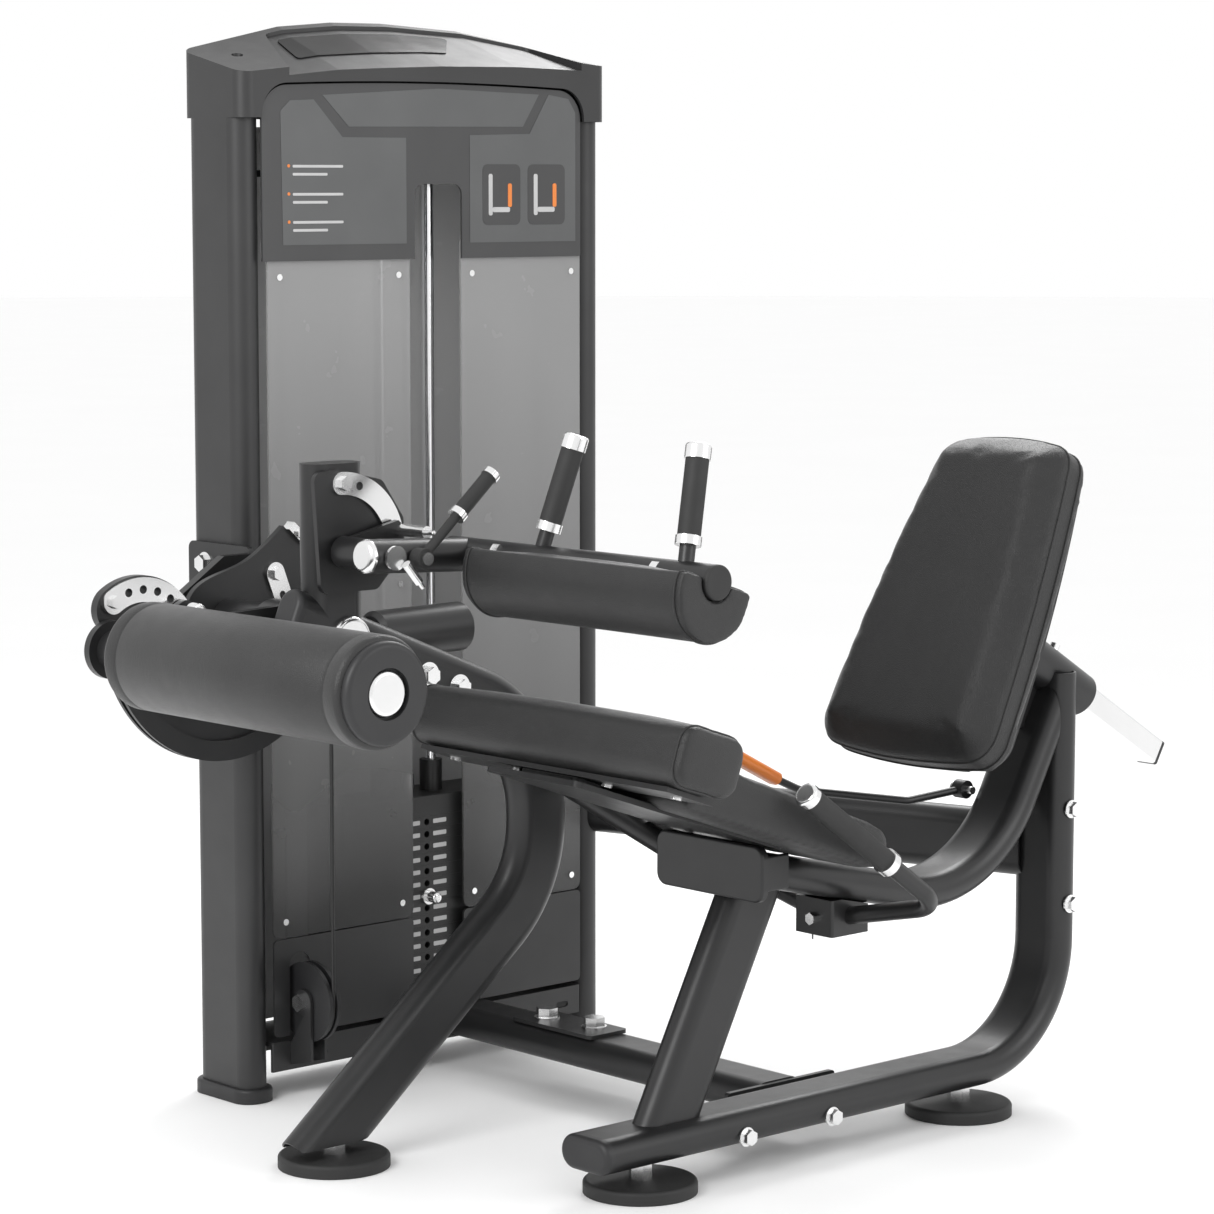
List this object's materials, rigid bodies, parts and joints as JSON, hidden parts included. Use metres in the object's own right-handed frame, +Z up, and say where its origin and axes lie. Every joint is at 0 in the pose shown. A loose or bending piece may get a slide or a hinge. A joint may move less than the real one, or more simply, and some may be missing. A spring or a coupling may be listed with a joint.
{
  "type": "leg_curl_machine",
  "caption": "Seated leg curl machine: ankle roller on a cammed lever, thigh pad, sliding backrest and a side weight tower",
  "frame": {"origin": "on the floor, under the middle of the machine's outline", "axes": "+Z up; the user faces -X; the weight tower stands on the +Y side"},
  "size_m": [1.7599, 1.18, 1.65],
  "materials": {
    "frame_paint": "satin",
    "tower_paint": "satin",
    "stack_paint": "satin",
    "bright_steel": "satin",
    "polished_rod": "polished",
    "pad_cover": "matte",
    "roller_foam": "matte",
    "black_rubber": "matte",
    "black_plastic": "matte",
    "gloss_black": "gloss",
    "frosted_panel": "satin",
    "placard_print": "satin",
    "orange_plastic": "satin",
    "cable_cover": "satin"
  },
  "bodies": {
    "frame": {"back_panel": "frosted_panel", "backrest_sleeve": "frame_paint", "base_frame": "frame_paint", "bolster_pad": "pad_cover", "cable": "cable_cover", "end_caps": "black_plastic", "frame_braces": "frame_paint", "frame_hardware": "bright_steel", "front_frame": "frame_paint", "frosted_shrouds": "frosted_panel", "guide_rods": "polished_rod", "hood": "tower_paint", "hood_insert": "gloss_black", "joint_plates": "frame_paint", "lower_shrouds": "tower_paint", "pivot_pins": "bright_steel", "placard": "placard_print", "resting_plates": "stack_paint", "rubber_mounts": "black_rubber", "seat_pad": "pad_cover", "seat_pans": "frame_paint", "seat_rail": "frame_paint", "side_grip_trim": "bright_steel", "side_grips": "black_rubber", "side_handles": "frame_paint", "slide_liners": "black_plastic", "thigh_index_sector": "bright_steel", "tower_cross_members": "tower_paint", "tower_links": "frame_paint", "tower_uprights": "tower_paint"},
    "lever": {"lever_hub": "frame_paint", "knee_bearings": "bright_steel", "lever_arms": "frame_paint", "lever_hardware": "bright_steel", "cam": "frame_paint", "counterweight": "frame_paint"},
    "crank": {"roller_crank": "frame_paint"},
    "crank_pin": {"roller_pin": "bright_steel"},
    "roller": {"roller_core": "black_plastic", "roller_pad": "roller_foam", "roller_cap": "bright_steel"},
    "stack": {"lifted_plates": "stack_paint", "head_plate": "stack_paint", "selector_spine": "bright_steel", "cable_drop": "cable_cover"},
    "stack_pin": {"selector_pin": "bright_steel"},
    "low_wheel": {"bottom_pulley": "black_plastic"},
    "riser_wheel": {"riser_pulley": "black_plastic"},
    "stack_wheel": {"stack_pulley": "black_plastic"},
    "thigh": {"thigh_frame": "frame_paint", "thigh_pad": "pad_cover", "thigh_trim": "bright_steel", "thigh_grips": "black_rubber"},
    "thigh_pin": {"thigh_plunger": "bright_steel"},
    "thigh_lever": {"release_lever": "black_rubber"},
    "backrest": {"backrest_pad": "pad_cover", "backrest_plate": "frame_paint", "slide_tube": "bright_steel"},
    "back_lever": {"back_release_rod": "frame_paint", "back_release_handle": "orange_plastic"}
  },
  "joints": [
    {"name": "knee_curl", "type": "hinge", "parent": "frame", "child": "lever", "pos_m": [-0.445, 0.264, 0.761], "axis": [0, -1, 0], "range_deg": [0, 110]},
    {"name": "stack_lift", "type": "slide", "parent": "frame", "child": "stack", "axis": [0, 0, 1], "range_m": [0, 0.388], "deforming": ["cable_drop"]},
    {"name": "bottom_pulley_spin", "type": "hinge", "parent": "frame", "child": "low_wheel", "pos_m": [-0.243, 0.422, 0.152], "axis": [-1, 0, 0], "continuous": true},
    {"name": "riser_pulley_spin", "type": "hinge", "parent": "frame", "child": "riser_wheel", "pos_m": [-0.20137, 0.48459, 1.475], "axis": [0.1331, -0.9911, 0], "continuous": true},
    {"name": "stack_pulley_spin", "type": "hinge", "parent": "frame", "child": "stack_wheel", "pos_m": [-0.01663, 0.50941, 1.475], "axis": [0.1331, -0.9911, 0], "continuous": true},
    {"name": "start_position", "type": "hinge", "parent": "lever", "child": "crank", "pos_m": [-0.75, 0.125, 0.769], "axis": [0, -1, 0], "range_deg": [0, 69.6]},
    {"name": "roller_pin_pull", "type": "slide", "parent": "crank", "child": "crank_pin", "axis": [0, -1, 0], "range_m": [0, 0.012], "stiffness_N_per_m": 900, "springref_m": -0.012},
    {"name": "roller_spin", "type": "hinge", "parent": "crank", "child": "roller", "pos_m": [-0.807, -0.21, 0.772], "axis": [0, 1, 0], "continuous": true},
    {"name": "thigh_pad_swing", "type": "hinge", "parent": "frame", "child": "thigh", "pos_m": [-0.466, -0.04, 0.888], "axis": [0, -1, 0], "range_deg": [0, 55]},
    {"name": "release_lever_pull", "type": "hinge", "parent": "thigh", "child": "thigh_lever", "pos_m": [-0.428, -0.078, 0.886], "axis": [0, -1, 0], "range_deg": [0, 15], "stiffness_Nm_per_rad": 3, "springref_deg": -20.05},
    {"name": "thigh_plunger_pull", "type": "slide", "parent": "thigh", "child": "thigh_pin", "axis": [0, -1, 0], "range_m": [0, 0.01]},
    {"name": "backrest_slide", "type": "slide", "parent": "frame", "child": "backrest", "axis": [0.8572, 0, -0.515], "range_m": [-0.17, 0.08]},
    {"name": "back_release_pull", "type": "hinge", "parent": "frame", "child": "back_lever", "pos_m": [0.505, -0.24, 0.48], "axis": [0, 1, 0], "range_deg": [0, 10], "stiffness_Nm_per_rad": 4, "springref_deg": -28.65},
    {"name": "selector_pin_pull", "type": "slide", "parent": "stack", "child": "stack_pin", "axis": [0, -1, 0], "range_m": [0, 0.075]}
  ],
  "couplings": [
    {"joint": "stack_lift", "follows": "knee_curl", "m_per_rad": 0.202},
    {"joint": "bottom_pulley_spin", "follows": "knee_curl", "ratio": 3.5439},
    {"joint": "riser_pulley_spin", "follows": "knee_curl", "ratio": 4.8095},
    {"joint": "stack_pulley_spin", "follows": "knee_curl", "ratio": 4.8095},
    {"joint": "thigh_plunger_pull", "follows": "release_lever_pull", "m_per_rad": 0.0381}
  ]
}
